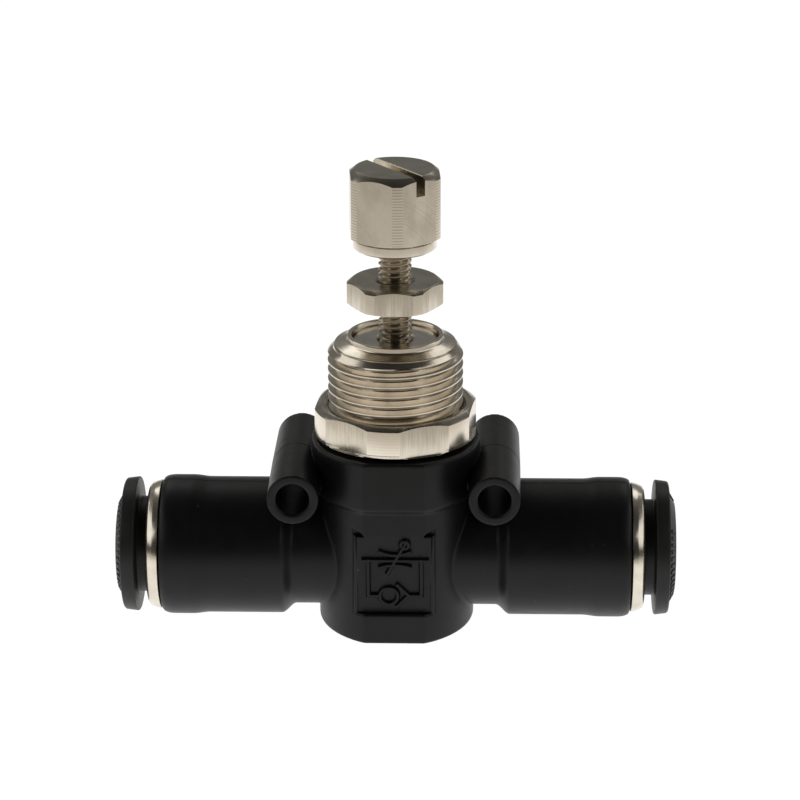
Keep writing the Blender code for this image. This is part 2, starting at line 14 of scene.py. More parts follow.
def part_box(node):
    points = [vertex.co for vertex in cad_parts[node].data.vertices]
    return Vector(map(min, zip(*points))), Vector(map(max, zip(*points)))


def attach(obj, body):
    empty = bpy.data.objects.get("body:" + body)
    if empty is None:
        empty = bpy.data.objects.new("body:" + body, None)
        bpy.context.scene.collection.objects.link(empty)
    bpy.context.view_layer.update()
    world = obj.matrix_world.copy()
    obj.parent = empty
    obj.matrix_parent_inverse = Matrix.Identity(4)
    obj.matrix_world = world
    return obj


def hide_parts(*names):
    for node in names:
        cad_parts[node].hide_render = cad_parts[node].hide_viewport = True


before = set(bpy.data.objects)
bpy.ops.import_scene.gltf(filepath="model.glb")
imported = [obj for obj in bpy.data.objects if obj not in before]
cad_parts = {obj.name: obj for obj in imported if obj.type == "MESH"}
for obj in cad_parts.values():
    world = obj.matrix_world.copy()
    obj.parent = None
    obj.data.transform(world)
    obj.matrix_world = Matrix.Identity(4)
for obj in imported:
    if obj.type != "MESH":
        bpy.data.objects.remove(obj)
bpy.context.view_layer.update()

MM = 0.001

# Mesh making: the distance that merges points, in mm, and the steps in a full turn
MERGE = 0.0004
THREAD_STEPS = 144
STEM_STEPS = 72
TURNED_STEPS = 128
SEAL_STEPS = 96
SEAL_SECTION_STEPS = 20
BODY_SHARE_KEPT = 0.45


def port_axis_height():
    low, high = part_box("end_ring_left")
    return (low.z + high.z) / 2


PORT_AXIS = port_axis_height()


def span(node, axis=2):
    """A node's lowest and highest place along an axis, in mm from the port axis."""
    low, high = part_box(node)
    lift = PORT_AXIS if axis == 2 else 0.0
    return (low[axis] - lift) / MM, (high[axis] - lift) / MM


# Body, in mm. Ends and heights come from the CAD node.
# BARREL and COLLAR are an oval's half widths along X and Y, and where its flats cut it.
# STEP is the height over which the barrel widens into the collar.
BODY_LOW, BODY_HIGH = span("body")
HOUSING_END = span("body", 0)[1]
BOSS_END = span("body", 1)[1]
BARREL = (8.08, 9.14, 8.45)
COLLAR = (8.66, 9.5, 8.9)
STEP = (6.85, 7.6)
FLAT_EDGE = 0.06
BARREL_RIM = 0.3
NECK_RADIUS = 6.1
NECK_END = 10.4
HOUSING_START = 11.9
HOUSING_RADIUS = 7.12
BULGE_START = 19.4
BULGE_FULL = 21.2
BULGE_RADIUS = 7.3
ROUND_START = 23.1
HOUSING_END_RADIUS = 6.86
HOUSING_EDGE = 0.08
BOSS_X = 10.23
BOSS_HEIGHT = 8.73
BOSS_RADIUS = 2.66
BOSS_HOLE = 1.68
BOSS_SPARE = 0.02
BOSS_TAPER = 0.006
BOSS_EDGE = 0.14
BOSS_MOUTH = 0.12
BOSS_MOUTH_LENGTH = 0.16
JOIN_FILLET = 0.25
BOSS_FILLET = 0.12
CUT_EDGE = 0.05
PARTING_DEPTH = 0.05
PARTING_WIDTH = 0.045
CARTRIDGE_BORE = 6.2
CARTRIDGE_STOP = 14.95
TUBE_BORE = 4.15
TUBE_STOP = 9.0
SHANK_BORE = 6.0
SHANK_BORE_END = 7.2
CHAMBER_BORE = 4.2
CHAMBER_END = -5.5

# Port rings and release sleeves
RING_END = span("end_ring_right", 0)[1]
FLANGE_BACK = 26.9
FLANGE_RADIUS = 7.05

# The leaning face of the symbol
FACE_LOW = -4.15
FACE_HIGH = 4.5
FACE_TOP_Y = -8.43
FACE_FOOT_Y = -7.75
FACE_HALF_WIDTH = 3.75
FACE_DRAFT = 0.5
FACE_DRAFT_REACH = 1.2
FACE_EDGE = 0.06
FACE_PAD_BACK = 6
LIP_LENGTH = 0.4
LIP_ROUNDING = 0.3
NOTCH_RISE = 0.72
NOTCH_CURVE = 0.7
NOTCH_INNER = 3.05
NOTCH_DEPTH = 0.75
NOTCH_FLOOR_EDGE = 0.1
NOTCH_EDGE = 0.08
FRAME_HALF_WIDTH = 4.2
FRAME_DEPTH = 0.07
FRAME_WIDTH = 0.055
STROKE_WIDTH = 0.3
STROKE_HEIGHT = 0.42
STROKE_DRAFT = 0.17
STROKE_SUNK = 0.12
STROKE_EDGE = 0.05

# Metal parts, in mm. A thread's phase is a height at which its crest faces the viewer.
# A hexagon is its width across flats, the radius of its turned corners, and its turn in degrees.
PANEL_THREAD = {"crest": 6.96, "pitch": 1.0, "depth": 0.6, "phase": 17.05}
STEM_THREAD = {"crest": 1.7, "pitch": 0.6, "depth": 0.34, "phase": 24.0}
PANEL_HEX = (16.0, 8.45, -7.2)
LOCK_HEX = (9.0, 4.92, 30.0)
KNOB_HEX = (9.0, 4.92, 5.0)
KNOB_COLLAR_RADIUS = 4.25
KNOB_NECK_RADIUS = 4.05
KNOB_HEX_LOW = 34.05
KNOB_CHAMFER_WIDTH = 0.87
KNOB_CHAMFER_SLOPE = 0.75
KNOB_GROOVE_LOW = KNOB_HEX_LOW - 0.22
KNOB_COLLAR_HIGH = KNOB_HEX_LOW - 0.24
# A crown or foot is the radius where its chamfer starts, and the chamfer's slope.
PANEL_CROWN = (7.82, 0.64)
LOCK_CROWN = (4.42, 0.6)
LOCK_FOOT = (4.6, 0.25)
KNOB_FOOT = (4.6, 0.5)
SLOT_ANGLE = -53.0
SLOT_WIDTH = 1.03
SLOT_DEPTH = 1.95
STEM_HOLE = 1.78

# Metal colours
NICKEL = (0.80, 0.735, 0.62)
# Painted shade: the threaded bonnet's tint is a darker copy of the nickel, for its shaded thread
# grooves.
NICKEL_THREAD_PAINTED_SHADE = (0.72, 0.65, 0.54)
# Painted shade: the stem's tint is a darker copy of the nickel, for a stem that sits in shade
# between the knob, the nuts and the guide.
NICKEL_STEM_PAINTED_SHADE = (0.52, 0.46, 0.37)
# Painted shade: the guide's tint is a darker copy of the nickel, for the bush that sits deep inside
# the rim.
NICKEL_GUIDE_PAINTED_SHADE = (0.64, 0.60, 0.53)
NICKEL_KNOB = (0.82, 0.755, 0.64)
NICKEL_PANEL_NUT = (0.84, 0.765, 0.64)

# Where a face cutter's spindle stood: aside, and above the port axis, in metres
CUTTER_ASIDE = -0.009
CUTTER_ABOVE = 0.028

# The white floor, in metres: how far it stays bright, and how fast it greys beyond that
FLOOR_FRONT = 0.043
FLOOR_HALF = 0.047
FLOOR_WIDENING = 0.25
FLOOR_FADE = 0.09
FLOOR_SIDE_SHARE = 0.6
FLOOR_GLOW = 1.0
FLOOR_SINK = 0.00002

# Soft boxes: name, direction from the valve, width and height in metres, power in watts
LIGHT_DISTANCE = 0.6
LIGHT_AIM = (0, 0, 0.025)
LIGHTS = (
    ("side_left", (-0.85, -0.12, 0.515), (0.9, 0.34), 1.06),
    ("side_right", (0.85, -0.12, 0.515), (0.9, 0.34), 1.0),
    ("back_left", (-0.28, 0.70, 0.66), (0.18, 0.24), 0.17),
    ("back_right", (0.30, 0.70, 0.65), (0.18, 0.24), 0.14),
)

# The camera: degrees of lift, turn and roll, and metres of distance and aim
CAMERA_ANGLES = (20.484, -1.752, -0.268)
CAMERA_DISTANCE = 0.308868
CAMERA_AIM_X = 0.0004466
CAMERA_AIM_ABOVE_AXIS = 0.0162315
CAMERA_SENSOR = 36
CAMERA_LENS = 135


# ---------------- shared mesh tools

def into_frame(mesh):
    """From mm about the port axis into the frame's metres."""
    mesh.transform(Matrix.Translation((0, 0, PORT_AXIS)) @ Matrix.Scale(MM, 4))


def make_piece(name, mesh, body, material, nodes=(), sharp=30):
    """A finished piece that rides on a body and stands for the CAD nodes given."""
    mesh.validate()
    mesh.shade_smooth()
    mesh.set_sharp_from_angle(angle=math.radians(sharp))
    into_frame(mesh)
    obj = bpy.data.objects.new(name, mesh)
    bpy.context.scene.collection.objects.link(obj)
    mesh.materials.clear()
    mesh.materials.append(material)
    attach(obj, body)
    if nodes:
        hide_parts(*nodes)
    return obj


def rounded(outline, radius, steps=3, closed=True):
    """The outline with each corner turned into a short curve."""
    count = len(outline)
    result = []
    for i, corner in enumerate(outline):
        if not closed and i in (0, count - 1):
            result.append(corner)
            continue
        here = Vector(corner)
        before = Vector(outline[i - 1]) - here
        after = Vector(outline[(i + 1) % count]) - here
        start = here + before.normalized() * min(radius, 0.45 * before.length)
        end = here + after.normalized() * min(radius, 0.45 * after.length)
        for k in range(steps + 1):
            share = k / steps
            a = start.lerp(here, share)
            b = here.lerp(end, share)
            result.append(tuple(a.lerp(b, share)))
    return result


def revolve(name, columns):
    """A closed mesh from (angle, outline) columns; the last column repeats the first place."""
    bm = bmesh.new()
    rows = []
    for angle, outline in columns:
        c, s = math.cos(angle), math.sin(angle)
        rows.append([bm.verts.new((r * c, r * s, z)) for r, z in outline])
    count = len(rows[0])
    for left, right in zip(rows, rows[1:]):
        for j in range(count):
            k = (j + 1) % count
            bm.faces.new((left[j], left[k], right[k], right[j]))
    return closed_mesh(name, bm)


def closed_mesh(name, bm):
    """A mesh from a bmesh, with doubled points merged and its faces turned outwards."""
    bmesh.ops.remove_doubles(bm, verts=bm.verts, dist=MERGE)
    bmesh.ops.dissolve_degenerate(bm, edges=bm.edges, dist=MERGE / 4)
    bmesh.ops.recalc_face_normals(bm, faces=bm.faces)
    mesh = bpy.data.meshes.new(name)
    bm.to_mesh(mesh)
    bm.free()
    return mesh


def turned(name, outline, edge=0.06, steps=TURNED_STEPS):
    """A turned mesh about Z, with its corners eased."""
    soft = rounded(outline, edge)
    return revolve(name, [(2 * math.pi * i / steps, soft) for i in range(steps + 1)])


def lay_along_x(mesh, side):
    """Turns a mesh made about Z so that its +Z points outwards along X on that side."""
    mesh.transform(Matrix.Rotation(side * math.pi / 2, 4, "Y"))
    return mesh


def hexagon_angles(across, radius, turn):
    """Column angles that fall on both edges of each turned corner strip."""
    strip = math.pi / 6 - math.acos(across / 2 / radius)
    angles = []
    for corner in range(6):
        middle = math.radians(turn - 90 + 60 * corner)
        for share in (-1, -0.5, 0, 0.5):
            angles.append(middle + share * strip)
        flat = math.pi / 3 - 2 * strip
        for k in range(12):
            angles.append(middle + strip + flat * k / 12)
    return angles + [angles[0] + 2 * math.pi]


def hexagon_radius(angle, across, radius, turn):
    """How far out a hexagon with turned corners reaches at an angle."""
    corner = math.radians(turn - 90)
    off = (angle - corner) % (math.pi / 3) - math.pi / 6
    return min(radius, across / 2 / math.cos(off))


def cut_away(mesh, cutter):
    """The mesh with the cutter's shape taken out of it."""
    obj = bpy.data.objects.new("boolean_base", mesh)
    other = bpy.data.objects.new("boolean_cutter", cutter)
    for item in (obj, other):
        bpy.context.scene.collection.objects.link(item)
    modifier = obj.modifiers.new("boolean", "BOOLEAN")
    modifier.operation = "DIFFERENCE"
    modifier.object = other
    modifier.solver = "EXACT"
    graph = bpy.context.evaluated_depsgraph_get()
    result = bpy.data.meshes.new_from_object(obj.evaluated_get(graph))
    for item in (obj, other):
        bpy.data.objects.remove(item, do_unlink=True)
    return result


# ---------------- body as a blended field

def smooth_min(a, b, k):
    """Union of two fields with a fillet about k wide."""
    h = np.clip(0.5 + 0.5 * (b - a) / k, 0, 1)
    return b + (a - b) * h - k * h * (1 - h)


def smooth_max(a, b, k):
    """What two fields share, with its edge rounded about k wide."""
    return -smooth_min(-a, -b, k)


def ease(value, start, stop):
    """0 before start and 1 after stop, with a smooth rise between."""
    share = np.clip((value - start) / (stop - start), 0, 1)
    return share * share * (3 - 2 * share)


def graded(*stretches):
    """One axis of the sampling grid, from (start, stop, step) stretches."""
    parts = [np.arange(start, stop - step / 2, step) for start, stop, step in stretches]
    return np.concatenate(parts + [[stretches[-1][1]]]).astype(np.float32)


def oval_field(x, y, half_x, half_y, flat):
    """Signed distance, near enough, to an oval cut flat at the front and back."""
    g = np.sqrt((x / half_x) ** 2 + (y / half_y) ** 2) + 1e-6
    slope = np.sqrt((x / half_x**2) ** 2 + (y / half_y**2) ** 2) + 1e-6
    return smooth_max(g * (g - 1) / slope, np.abs(y) - flat, FLAT_EDGE)


def barrel_field(x, y, z):
    """The oval barrel, with the wider collar at its top."""
    rise = ease(z, *STEP)
    half_x, half_y, flat = (a + (b - a) * rise for a, b in zip(BARREL, COLLAR))
    wall = oval_field(x, y, half_x, half_y, flat)
    middle, half = (BODY_HIGH + BODY_LOW) / 2, (BODY_HIGH - BODY_LOW) / 2
    return smooth_max(wall, np.abs(z - middle) - half, BARREL_RIM)


def port_tube_field(x, y, z):
    """Necks and housings, as one turned outline along X."""
    along = np.abs(x)
    radius = NECK_RADIUS + (HOUSING_RADIUS - NECK_RADIUS) * ease(along, NECK_END, HOUSING_START)
    radius = radius + (BULGE_RADIUS - HOUSING_RADIUS) * ease(along, BULGE_START, BULGE_FULL)
    end = np.clip((along - ROUND_START) / (HOUSING_END - ROUND_START), 0, 1)
    radius = radius - (BULGE_RADIUS - HOUSING_END_RADIUS) * (1 - np.sqrt(1 - end**2))
    wall = np.sqrt(y**2 + z**2) - radius
    return smooth_max(wall, along - HOUSING_END, HOUSING_EDGE)


def boss_fields(x, y, z):
    """The cross-drilled bosses and their holes. Both taper a little from the parting line."""
    ring = np.sqrt((np.abs(x) - BOSS_X) ** 2 + (z - BOSS_HEIGHT) ** 2)
    taper = BOSS_TAPER * np.abs(y)
    wall = ring - BOSS_RADIUS - BOSS_SPARE + taper
    boss = smooth_max(wall, np.abs(y) - BOSS_END, BOSS_EDGE)
    mouth = BOSS_MOUTH * ease(np.abs(y), BOSS_END - BOSS_MOUTH_LENGTH, BOSS_END)
    return boss, ring - BOSS_HOLE - mouth


def symbol_field(x, y, z, field):
    """Cuts the barrel back to the leaning face, adds its drafted sides, and notches its corners."""
    share = (FACE_HIGH - z) / (FACE_HIGH - FACE_LOW)
    face_y = FACE_TOP_Y + (FACE_FOOT_Y - FACE_TOP_Y) * share
    proud = face_y - y
    tall = np.maximum(z - FACE_HIGH, FACE_LOW - z)
    recess = np.maximum(np.maximum(-proud, np.abs(x) - FACE_HALF_WIDTH), tall)
    rounding = FACE_EDGE + LIP_ROUNDING * ease(-z, -FACE_LOW - LIP_LENGTH, -FACE_LOW)
    field = smooth_max(field, -recess, rounding)
    draft = FACE_DRAFT * np.clip(-proud, 0, FACE_DRAFT_REACH)
    sides = np.abs(x) - FACE_HALF_WIDTH - draft
    pad = np.maximum(np.maximum(proud, sides), tall)
    field = smooth_min(field, np.maximum(pad, y + FACE_PAD_BACK), CUT_EDGE)
    notch_side = np.maximum(NOTCH_INNER - np.abs(x), np.abs(x) - FACE_HALF_WIDTH - FACE_DRAFT)
    width = FACE_HALF_WIDTH + FACE_DRAFT - NOTCH_INNER
    notch_share = np.clip((np.abs(x) - NOTCH_INNER) / width, 0, 1)
    notch_rise = NOTCH_RISE * notch_share**NOTCH_CURVE
    notch_tall = np.maximum(z - FACE_HIGH - notch_rise, FACE_HIGH - z)
    notch_wall = np.maximum(notch_side, notch_tall)
    notch = smooth_max(notch_wall, y - FACE_TOP_Y - NOTCH_DEPTH, NOTCH_FLOOR_EDGE)
    return smooth_max(field, -notch, NOTCH_EDGE)


def bore_field(x, y, z):
    """Everything hollow: stem bore, chamber and both port sockets."""
    stem = np.sqrt(x**2 + y**2)
    bore = np.maximum(stem - SHANK_BORE, SHANK_BORE_END - z)
    bore = np.minimum(bore, np.maximum(stem - CHAMBER_BORE, CHAMBER_END - z))
    port = np.sqrt(y**2 + z**2)
    along = np.abs(x)
    bore = np.minimum(bore, np.maximum(port - CARTRIDGE_BORE, CARTRIDGE_STOP - along))
    return np.minimum(bore, np.maximum(port - TUBE_BORE, TUBE_STOP - along))


def parting_groove(y):
    """The fine witness line where the mould's halves meet."""
    return PARTING_DEPTH * np.exp(-((y / PARTING_WIDTH) ** 2))


def frame_groove(x, y, z):
    """The fine groove that runs down both sides of the symbol, where the mould has an insert."""
    groove = FRAME_DEPTH * np.exp(-(((np.abs(x) - FRAME_HALF_WIDTH) / FRAME_WIDTH) ** 2))
    inside = (y < 0) & (z > FACE_LOW) & (z < FACE_HIGH)
    return np.where(inside, groove, 0.0)


def body_field(x, y, z):
    """The whole moulded body: negative inside the plastic."""
    boss, hole = boss_fields(x, y, z)
    field = smooth_min(barrel_field(x, y, z), port_tube_field(x, y, z), JOIN_FILLET)
    field = smooth_min(field, boss, BOSS_FILLET) + parting_groove(y) + frame_groove(x, y, z)
    field = symbol_field(x, y, z, field)
    field = smooth_max(field, -hole, CUT_EDGE)
    return smooth_max(field, -bore_field(x, y, z), CUT_EDGE)


def surface_net(name, field, xs, ys, zs):
    """A quad mesh of the field's zero surface, with one point in each cell that it crosses."""
    axes = (xs, ys, zs)
    shape = field.shape
    cells, places, quads = [], [], []
    for axis in range(3):
        u, v = (axis + 1) % 3, (axis + 2) % 3
        low = [slice(None)] * 3
        high = [slice(None)] * 3
        low[axis], high[axis] = slice(None, -1), slice(1, None)
        first, second = field[tuple(low)], field[tuple(high)]
        index = np.argwhere((first < 0) != (second < 0))
        key = tuple(index.T)
        a, b = first[key], second[key]
        point = np.stack([axes[k][index[:, k]] for k in range(3)], axis=1)
        step = axes[axis][index[:, axis] + 1] - point[:, axis]
        point[:, axis] += step * a / (a - b)
        corners = []
        for du, dv in ((-1, -1), (0, -1), (0, 0), (-1, 0)):
            cell = index.copy()
            cell[:, u] += du
            cell[:, v] += dv
            flat = np.ravel_multi_index(tuple(cell.T), shape)
            corners.append(flat)
            cells.append(flat)
            places.append(point)
        quad = np.stack(corners, axis=1)
        quad[a >= 0] = quad[a >= 0][:, ::-1]
        quads.append(quad)
    used, inverse = np.unique(np.concatenate(cells), return_inverse=True)
    spots = np.concatenate(places)
    counts = np.bincount(inverse)
    points = np.stack([np.bincount(inverse, spots[:, k]) / counts for k in range(3)], axis=1)
    faces = np.searchsorted(used, np.concatenate(quads))
    mesh = bpy.data.meshes.new(name)
    mesh.from_pydata(points.tolist(), [], faces.tolist())
    return mesh


def thinned(mesh, ratio):
    """The mesh with its flat stretches spent on fewer triangles."""
    obj = bpy.data.objects.new("to_thin", mesh)
    bpy.context.scene.collection.objects.link(obj)
    modifier = obj.modifiers.new("thin", "DECIMATE")
    modifier.ratio = ratio
    graph = bpy.context.evaluated_depsgraph_get()
    result = bpy.data.meshes.new_from_object(obj.evaluated_get(graph))
    bpy.data.objects.remove(obj, do_unlink=True)
    return result


def moulded_body_mesh():
    """The body sampled finely at its symbol, its grooves and its parting line."""
    margin = 0.25
    outer = HOUSING_END + 0.3
    coarse, plain, fine, groove, seam = 0.22, 0.14, 0.09, 0.04, 0.03
    xs = graded((-outer, -13, coarse), (-13, -4.4, plain), (-4.4, -3.6, groove),
                (-3.6, 3.6, fine), (3.6, 4.4, groove), (4.4, 13, plain), (13, outer, coarse))
    ys = graded((-BOSS_END - margin, -7.3, 0.08), (-7.3, -0.2, 0.16), (-0.2, 0.2, seam),
                (0.2, BOSS_END + margin, 0.16))
    zs = graded((BODY_LOW - margin, -4.4, 0.13), (-4.4, 5.2, fine),
                (5.2, BODY_HIGH + margin, 0.13))
    grid = np.meshgrid(xs, ys, zs, indexing="ij", sparse=True)
    return surface_net("body", body_field(*grid), xs, ys, zs)


# ---------------- symbol strokes

def arc_points(middle, radius, start, stop, steps):
    """Points along an arc, with its angles in degrees."""
    points = []
    for k in range(steps + 1):
        angle = math.radians(start + (stop - start) * k / steps)
        points.append((middle[0] + radius * math.cos(angle), middle[1] + radius * math.sin(angle)))
    return points


def bowed(start, stop, bow, steps=8):
    """Points from start to stop along a shallow bow."""
    points = []
    for k in range(steps + 1):
        share = k / steps
        x = start[0] + (stop[0] - start[0]) * share
        z = start[1] + (stop[1] - start[1]) * share + bow * 4 * share * (1 - share)
        points.append((x, z))
    return points


def symbol_strokes():
    """Lines of the generic throttle and check symbol, as (x, z) paths on the leaning face."""
    bar, foot = 1.9, -2.14
    left, right = -2.63, 2.78
    check_ball = arc_points((-0.54, -2.2), 0.93, 0, 360, 28)
    arrow_ring, arrow_radius = (1.11, 3.68), 0.4
    arrow_side = arc_points(arrow_ring, arrow_radius, -120, 60, 10)[::-1]
    arrow_end = arc_points(arrow_ring, arrow_radius, 60, 190, 8)
    return [
        [(-3.15, bar), (3.42, bar)],
        [(left, bar), (left, foot), (-1.6, foot)],
        [(right, bar), (right, foot), (1.66, foot)],
        check_ball,
        [(0.34, -0.95), (1.5, -2.12), (0.34, -3.36)],
        bowed((-1.42, 2.88), (1.62, 2.88), -0.36),
        bowed((-1.43, 1.12), (1.64, 1.12), 0.26),
        [(-0.65, 0.41), (1.0, 3.5)],
        arrow_side + arrow_end,
    ]


def stroke_mesh(bm, path):
    """One raised stroke with drafted sides, its foot sunk a little into the face."""
    half = STROKE_WIDTH / 2
    sections = []
    closed = (Vector(path[0]) - Vector(path[-1])).length < 0.01
    points = path[:-1] if closed else path
    count = len(points)
    for i, place in enumerate(points):
        here = Vector(place)
        back = here - Vector(points[i - 1]) if i or closed else None
        ahead = Vector(points[(i + 1) % count]) - here if i < count - 1 or closed else None
        back, ahead = back or ahead, ahead or back
        along = (back.normalized() + ahead.normalized()).normalized()
        across = Vector((-along.y, along.x)) / max(0.5, along.dot(ahead.normalized()))
        end = 0.0 if closed or 0 < i < count - 1 else half
        centre = here + along * (end if i else -end)
        sections.append(stroke_section(bm, centre, across, half))
    pairs = list(zip(sections, sections[1:]))
    if closed:
        pairs.append((sections[-1], sections[0]))
    for a, b in pairs:
        for j in range(len(a)):
            k = (j + 1) % len(a)
            bm.faces.new((a[j], a[k], b[k], b[j]))
    if not closed:
        bm.faces.new(sections[0][::-1])
        bm.faces.new(sections[-1])


def stroke_section(bm, centre, across, half):
    """The stroke's cross-section at one point of its path, standing on the leaning face."""
    share = (FACE_HIGH - centre.y) / (FACE_HIGH - FACE_LOW)
    face_y = FACE_TOP_Y + (FACE_FOOT_Y - FACE_TOP_Y) * share
    outline = (
        (half + STROKE_DRAFT, STROKE_SUNK),
        (half, STROKE_EDGE - STROKE_HEIGHT),
        (half - STROKE_EDGE, -STROKE_HEIGHT),
        (STROKE_EDGE - half, -STROKE_HEIGHT),
        (-half, STROKE_EDGE - STROKE_HEIGHT),
        (-half - STROKE_DRAFT, STROKE_SUNK),
    )
    return [
        bm.verts.new((centre.x + across.x * side, face_y + depth, centre.y + across.y * side))
        for side, depth in outline
    ]


def make_body(plastic):
    """The moulded body, with the symbol's strokes standing on its leaning face."""
    mesh = thinned(moulded_body_mesh(), BODY_SHARE_KEPT)
    bm = bmesh.new()
    bm.from_mesh(mesh)
    strokes = bmesh.new()
    for path in symbol_strokes():
        stroke_mesh(strokes, path)
    bmesh.ops.recalc_face_normals(strokes, faces=strokes.faces)
    relief = bpy.data.meshes.new("strokes")
    strokes.to_mesh(relief)
    strokes.free()
    bm.from_mesh(relief)
    whole = bpy.data.meshes.new("body_skin")
    bm.to_mesh(whole)
    bm.free()
    return make_piece("body_moulding", whole, "valve_body", plastic, ["body"])


# ---------------- threads

THREAD_ROWS = ((0.0, 0.0), (0.07, 0.03), (0.2, 0.35), (0.41, 0.95), (0.5, 1.0), (0.59, 0.95),
               (0.8, 0.35), (0.93, 0.03))


def threaded_columns(thread, low, high, limit, ends, rest, steps=THREAD_STEPS):
    """Columns of a right-hand thread between two heights, followed by the rest of the outline.

    limit gives the largest radius at a height, and ends the radii at the top and the bottom.
    """
    pitch = thread["pitch"]
    base = thread["phase"] - pitch * math.ceil((thread["phase"] - low) / pitch + 1)
    turns = math.ceil((high - base) / pitch) + 1
    columns = []
    for i in range(steps + 1):
        rows = []
        for turn in range(turns):
            for phase, share in THREAD_ROWS:
                z = base + pitch * (turn + phase + i / steps)
                if z >= high:
                    rows.append((ends[0], high))
                elif z <= low:
                    rows.append((ends[1], low))
                else:
                    rows.append((min(thread["crest"] - thread["depth"] * share, limit(z)), z))
        angle = 2 * math.pi * i / steps - math.pi / 2
        columns.append((angle, rows[::-1] + rest))
    return columns


def make_bonnet(material):
    """Threaded stem housing with its cone, crimped rim and shank."""
    top = span("bonnet")[1]
    low, high = 12.62, 22.42
    lead_low, lead_low_radius = 21.74, 6.95
    lead_high_radius = 6.33

    def limit(z):
        share = max(0.0, (z - lead_low) / (high - lead_low))
        return lead_low_radius + (lead_high_radius - lead_low_radius) * share

    inside = [
        (5.94, low), (5.94, 10.3), (4.95, 10.3), (4.95, 8.9), (5.94, 8.9), (5.94, 7.6),
        (4.45, 7.6), (4.45, 1.2), (3.02, 1.2), (3.02, 2.05), (2.6, 2.05), (2.6, 14.2),
        (4.46, 14.2), (4.46, top - 0.06), (4.52, top), (4.86, top), (4.91, top - 0.05),
        (4.93, top - 0.45), (4.99, top - 0.53), (5.12, top - 0.59), (6.2, 22.6), (6.27, 22.54),
        (6.25, 22.47), (6.2, 22.44),
    ]
    ends = (limit(high), lead_high_radius)
    columns = threaded_columns(PANEL_THREAD, low, high, limit, ends, inside)
    mesh = revolve("bonnet_thread", columns)
    return make_piece("bonnet_threaded", mesh, "valve_body", material,
                      ["bonnet"], sharp=24)


def make_needle_stem(material):
    """Threaded stem with its piston land, seal groove, spindle and needle."""
    low, high = 11.5, span("needle_stem")[1]
    lead = 0.25

    def limit(z):
        return STEM_THREAD["crest"] - max(0.0, z - (high - lead))

    below = [
        (2.52, 11.4), (2.52, 10.5), (1.72, 10.5), (1.72, 9.3), (2.52, 9.3), (2.52, 8.4),
        (1.6, 8.0), (1.6, 4.4), (1.22, 3.9), (0.35, 0.8), (0.0, 0.6), (0.0, high),
    ]
    ends = (limit(high), 1.4)
    columns = threaded_columns(STEM_THREAD, low, high, limit, ends, below, STEM_STEPS)
    mesh = revolve("stem_thread", columns)
    return make_piece("needle_stem_threaded", mesh, "needle", material,
                      ["needle_stem"], sharp=28)


# ---------------- hexagon pieces

def bevel(reach, cut):
    """How far a chamfer has dropped at a radius, for a (start radius, slope) cut."""
    start, slope = cut
    return slope * max(0.0, reach - start)


def hexagon_piece(name, hexagon, outline_at, edge=0.03):
    """A hexagon mesh from the outline at each distance that its edge reaches."""
    across, radius, turn = hexagon
    columns = []
    for angle in hexagon_angles(across, radius, turn):
        reach = hexagon_radius(angle, across, radius, turn)
        columns.append((angle, rounded(outline_at(reach), edge, 2)))
    return revolve(name, columns)


def make_panel_nut(material):
    """Panel nut with a chamfered crown and a round washer face below."""
    low, high = span("panel_nut")
    washer = low + 0.35

    def outline(reach):
        crown = high - bevel(reach, PANEL_CROWN)
        return [
            (7.03, low), (8.3, low), (min(8.42, reach), low + 0.1), (min(8.42, reach), washer),
            (reach, washer + 0.05), (reach, crown - 0.02), (7.78, high), (7.45, high),
            (7.03, high - 0.3),
        ]
    mesh = hexagon_piece("panel_nut_hex", PANEL_HEX, outline)
    return make_piece("panel_nut_milled", mesh, "panel_nut", material,
                      ["panel_nut"], sharp=14)


def make_lock_nut(material):
    """Thin lock nut, chamfered above and a little below."""
    low, high = span("lock_nut")

    def outline(reach):
        crown = high - bevel(reach, LOCK_CROWN)
        foot = low + bevel(reach, LOCK_FOOT)
        return [
            (STEM_HOLE + 0.25, low), (4.48, low), (reach, foot + 0.02), (reach, crown - 0.02),
            (4.4, high), (STEM_HOLE + 0.3, high), (STEM_HOLE, high - 0.3),
            (STEM_HOLE, low + 0.25),
        ]
    mesh = hexagon_piece("lock_nut_hex", LOCK_HEX, outline)
    return make_piece("lock_nut_milled", mesh, "lock_nut", material,
                      ["lock_nut"], sharp=14)


def make_knob(material):
    """Slotted hexagon knob on a round collar, hollow below for the stem's end."""
    low, high = span("adjusting_knob")
    blind = span("needle_stem")[1] + 0.06
    top_radius = KNOB_HEX[1] - KNOB_CHAMFER_WIDTH

    def outline(reach):
        crown = high - KNOB_CHAMFER_SLOPE * max(0.0, reach - top_radius)
        foot = KNOB_HEX_LOW + bevel(reach, KNOB_FOOT)
        return [
            (0.0, high), (top_radius, high), (reach, crown), (reach, foot),
            (KNOB_NECK_RADIUS, foot - 0.02), (KNOB_NECK_RADIUS, KNOB_GROOVE_LOW),
            (KNOB_COLLAR_RADIUS, KNOB_COLLAR_HIGH),
            (KNOB_COLLAR_RADIUS, low + 0.16), (KNOB_COLLAR_RADIUS - 0.2, low),
            (STEM_HOLE, low), (STEM_HOLE, blind), (0.0, blind),
        ]
    across, radius, turn = KNOB_HEX
    columns = []
    for angle in hexagon_angles(across, radius, turn):
        reach = hexagon_radius(angle, across, radius, turn)
        columns.append((angle, rounded(outline(reach), 0.03, 2, closed=False)))
    mesh = revolve("knob_hex", columns)
    mesh = cut_away(mesh, slot_cutter(high))
    return make_piece("adjusting_knob_milled", mesh, "needle", material,
                      ["adjusting_knob"], sharp=14)


